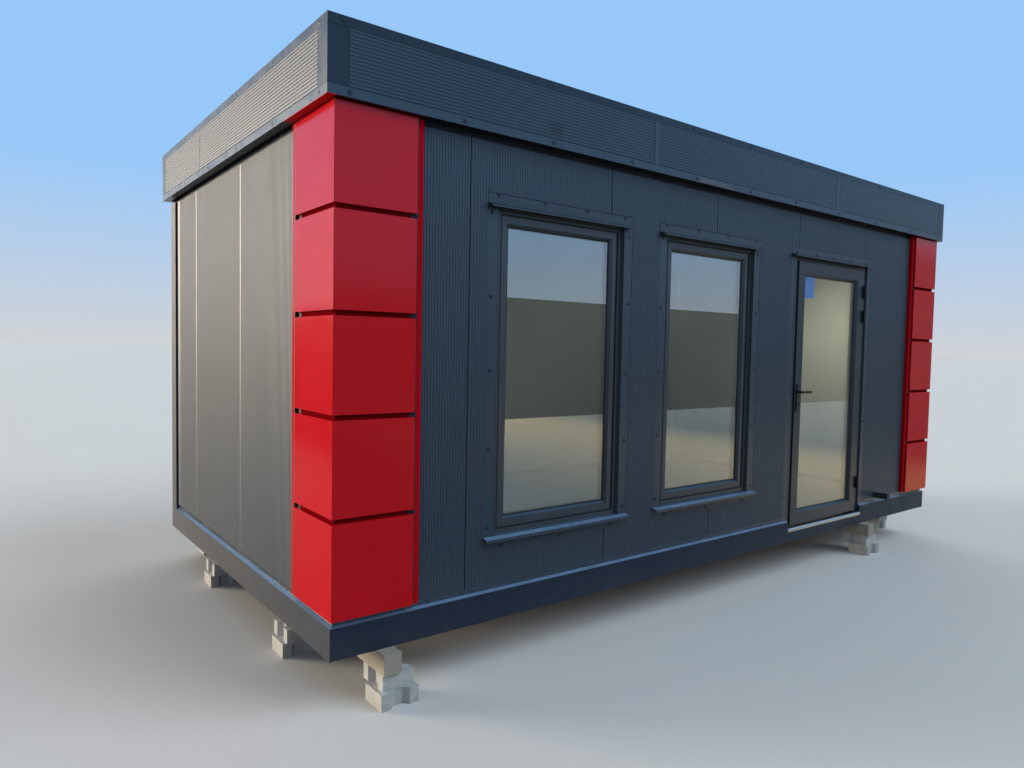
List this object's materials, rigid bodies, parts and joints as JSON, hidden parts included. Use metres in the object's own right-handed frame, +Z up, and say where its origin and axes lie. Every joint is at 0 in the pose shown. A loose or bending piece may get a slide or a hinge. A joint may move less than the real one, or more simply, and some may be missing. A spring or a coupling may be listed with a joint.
{
  "type": "site cabin",
  "caption": "Anthracite portable site cabin with tall fixed-framed windows, a glazed hinged door, red cassette corner casings and a ribbed roof fascia, raised on small piers",
  "frame": {"origin": "on the ground under the middle of the cabin", "axes": "+X along the front from left to right, -Y out of the front, +Z up"},
  "size_m": [6.1, 3.236, 3.126],
  "materials": {
    "frame_steel": "satin anthracite paint",
    "joist_steel": "primed steel",
    "wall_panel": "fine ribbed anthracite sheet outside, white sheet inside",
    "fascia_panel": "ribbed anthracite sheet",
    "flashing": "folded anthracite sheet",
    "casing_red": "gloss red",
    "casing_backing": "red in shadow",
    "roof_sheet": "light grey ribbed sheet",
    "ceiling": "white sheet",
    "deck": "floor boarding",
    "window_profile": "anthracite foil",
    "glass": "clear sealed unit",
    "handle_black": "black",
    "handle_white": "white",
    "threshold": "mill finish",
    "hinge": "black paint",
    "pipe": "black pipe",
    "timber": "weathered sawn timber",
    "concrete": "pale grey cast concrete"
  },
  "bodies": {
    "cabin": {"back_wall": "wall_panel", "base_back_rail": "frame_steel", "base_end_rails": "frame_steel", "base_front_rail": "frame_steel", "casing_soffits": "casing_red", "ceiling_panel": "ceiling", "corner_posts": "frame_steel", "door_frame": "window_profile", "door_hinge_brackets": "hinge", "door_threshold": "threshold", "drip_flashing": "flashing", "end_walls": "wall_panel", "fascia_cap": "flashing", "fascia_corner_trims": "flashing", "fascia_ends": "fascia_panel", "fascia_foot_trim": "flashing", "fascia_sides": "fascia_panel", "floor_deck": "deck", "floor_joists": "joist_steel", "front_wall_over_door": "wall_panel", "front_wall_right": "wall_panel", "front_wall_windows": "wall_panel", "head_drip_caps": "flashing", "left_casing_backing": "casing_backing", "left_casing_cassettes": "casing_red", "opening_surrounds": "flashing", "pier_lower_pavers": "concrete", "pier_timbers": "timber", "pier_upper_pavers": "concrete", "right_casing_backing": "casing_backing", "right_casing_cassettes": "casing_red", "roof_end_beams": "frame_steel", "roof_long_beams": "frame_steel", "roof_panel": "roof_sheet", "service_pipe": "pipe", "window_frames": "window_profile", "window_handles": "handle_white", "window_panes": "glass", "window_sashes": "window_profile", "window_sills": "flashing"},
    "door": {"door_leaf": "window_profile", "door_glass": "glass", "door_lock": "handle_black", "door_hinge_leaves": "hinge"},
    "lever": {"door_handle": "handle_black"}
  },
  "joints": [
    {"name": "door_swing", "type": "hinge", "parent": "cabin", "child": "door", "pos_m": [1.751, -1.513, 1.3935], "axis": [0, 0, 1], "range_deg": [0, 110]},
    {"name": "lever_turn", "type": "hinge", "parent": "door", "child": "lever", "pos_m": [0.79, -1.462, 1.41], "axis": [0, 1, 0], "range_deg": [0, 40], "stiffness_Nm_per_rad": 0.6, "springref_deg": -17.19}
  ]
}
